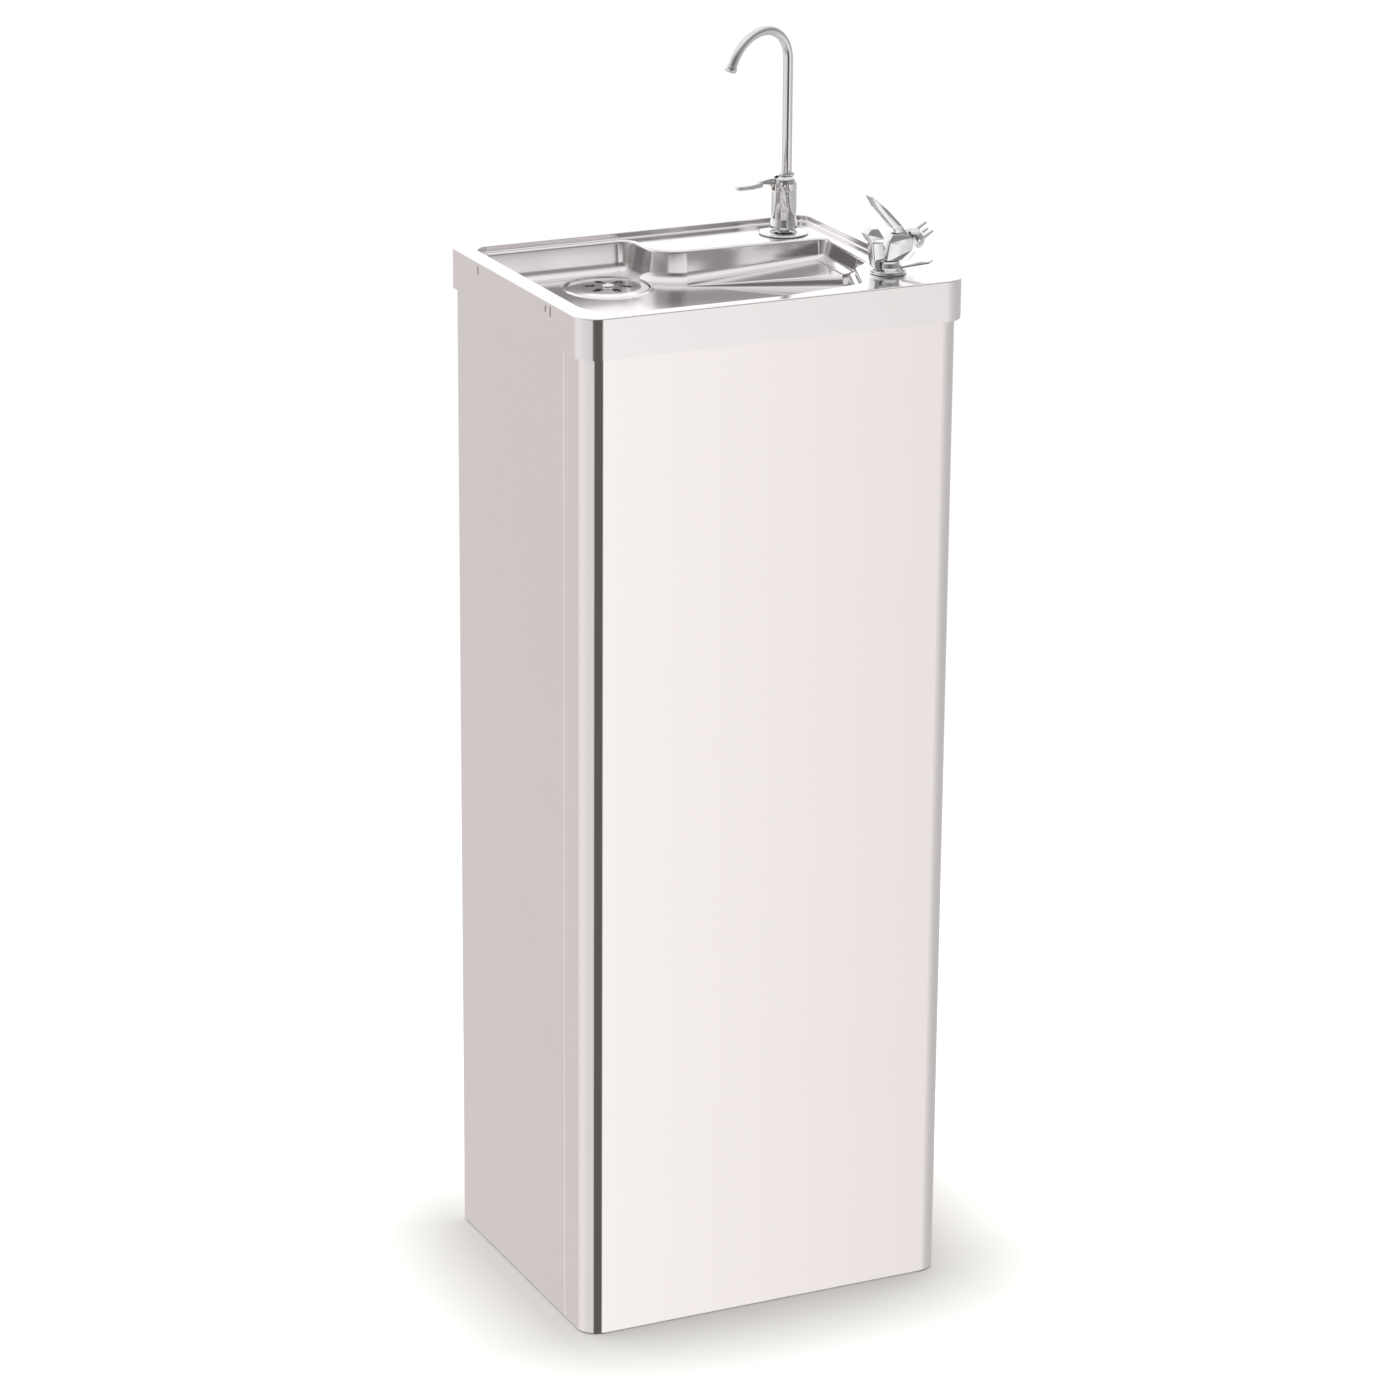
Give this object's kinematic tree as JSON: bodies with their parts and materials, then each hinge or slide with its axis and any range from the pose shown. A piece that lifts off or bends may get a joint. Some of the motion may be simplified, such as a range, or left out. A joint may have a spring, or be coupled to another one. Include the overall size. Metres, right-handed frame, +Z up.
{
  "type": "floor-standing drinking fountain",
  "caption": "Floor-standing stainless drinking fountain: tall sheet cabinet, pressed basin with a sloping bowl, gooseneck bottle filler and lever bubbler.",
  "frame": {"origin": "on the floor under the middle of the cabinet, on the base tray's underside", "axes": "+Z up, +Y towards the back sheet, +X to the right side, where the tap and the bubbler stand; the front faces -Y"},
  "size_m": [0.39, 0.3253, 1.1986],
  "materials": {
    "satin_steel": "satin polished stainless steel",
    "polished_steel": "mirror polished stainless steel",
    "chrome": "polished chrome plate",
    "zinc_plate": "dull zinc-plated steel",
    "copper": null,
    "brass": "turned brass",
    "black_paint": "black paint on steel",
    "black_plastic": "moulded black plastic",
    "white_plastic": "moulded white plastic",
    "grey_plastic": "extruded grey plastic",
    "blue_tube": "blue food-grade tube",
    "foam": "rigid foam",
    "rubber": "black rubber"
  },
  "bodies": {
    "root": {"front_panel": "satin_steel", "left_side_panel": "satin_steel", "right_side_panel": "satin_steel", "cold_tank": "satin_steel", "basin_top": "polished_steel", "drain_strainer": "polished_steel", "strainer_screw": "chrome", "tap_escutcheon": "chrome", "tap_body": "chrome", "spout_collar": "chrome", "bubbler_base": "chrome", "bubbler_body": "chrome", "bubbler_nozzle": "chrome", "bubbler_hood": "chrome", "bubbler_wings": "chrome", "tap_lever_pin": "chrome", "bubbler_lever_pin": "chrome", "rear_panel": "zinc_plate", "rear_screw_1": "zinc_plate", "rear_screw_2": "zinc_plate", "rear_screw_3": "zinc_plate", "rear_screw_4": "zinc_plate", "base_tray": "zinc_plate", "tank_shelf": "zinc_plate", "compressor_plate": "zinc_plate", "tap_valve_spring": "zinc_plate", "bubbler_plunger_spring": "zinc_plate", "filter_drier": "copper", "discharge_pipe": "copper", "suction_pipe": "copper", "capillary_tube": "copper", "evaporator_coil": "copper", "tap_nut": "brass", "bubbler_nut": "brass", "water_inlet": "brass", "compressor": "black_paint", "condenser": "black_paint", "filter_head": "black_plastic", "thermostat": "black_plastic", "power_inlet": "black_plastic", "waste_body": "white_plastic", "water_filter": "white_plastic", "waste_hose": "grey_plastic", "waste_outlet": "grey_plastic", "inlet_hose": "blue_tube", "feed_hose": "blue_tube", "tap_hose": "blue_tube", "bubbler_hose": "blue_tube", "tank_insulation": "foam", "insulation_lid": "foam", "waste_gasket": "rubber", "tap_washer": "rubber"},
    "spout": {"tap_spout": "chrome", "spout_outlet": "chrome"},
    "tap_lever": {"tap_lever": "chrome"},
    "tap_stem": {"tap_valve_stem": "brass"},
    "bubbler_lever": {"bubbler_lever": "chrome"},
    "bubbler_plunger": {"bubbler_plunger": "brass"},
    "bubbler_knob": {"bubbler_knob": "chrome"},
    "thermostat_knob": {"thermostat_knob": "black_plastic"}
  },
  "joints": [
    {"name": "spout_swivel", "type": "hinge", "parent": "root", "child": "spout", "pos_m": [0.131, 0.1, 1.044], "axis": [0, 0, 1], "continuous": true},
    {"name": "tap_lever_hinge", "type": "hinge", "parent": "root", "child": "tap_lever", "pos_m": [0.1215, 0.1, 1.044], "axis": [0, -1, 0], "range_deg": [0, 25], "stiffness_Nm_per_rad": 0.15, "springref_deg": -5.73},
    {"name": "tap_stem_slide", "type": "slide", "parent": "root", "child": "tap_stem", "axis": [0, 0, -1], "range_m": [0, 0.0015], "deforming": ["tap_valve_spring"]},
    {"name": "bubbler_lever_hinge", "type": "hinge", "parent": "root", "child": "bubbler_lever", "pos_m": [0.153, -0.103, 1.03], "axis": [0, -1, 0], "range_deg": [0, 10], "stiffness_Nm_per_rad": 0.4, "springref_deg": -5.73},
    {"name": "bubbler_plunger_slide", "type": "slide", "parent": "root", "child": "bubbler_plunger", "axis": [0, 0, -1], "range_m": [0, 0.0014], "deforming": ["bubbler_plunger_spring"]},
    {"name": "bubbler_regulator", "type": "hinge", "parent": "root", "child": "bubbler_knob", "pos_m": [0.1602, -0.103, 1.029], "axis": [0.866, 0, 0.5], "range_deg": [0, 90]},
    {"name": "thermostat_dial", "type": "hinge", "parent": "root", "child": "thermostat_knob", "pos_m": [0.153, 0.155, 0.3], "axis": [0, 1, 0], "range_deg": [0, 270]}
  ],
  "couplings": [
    {"joint": "tap_stem_slide", "follows": "tap_lever_hinge", "m_per_rad": 0.0034},
    {"joint": "bubbler_plunger_slide", "follows": "bubbler_lever_hinge", "m_per_rad": 0.008}
  ]
}
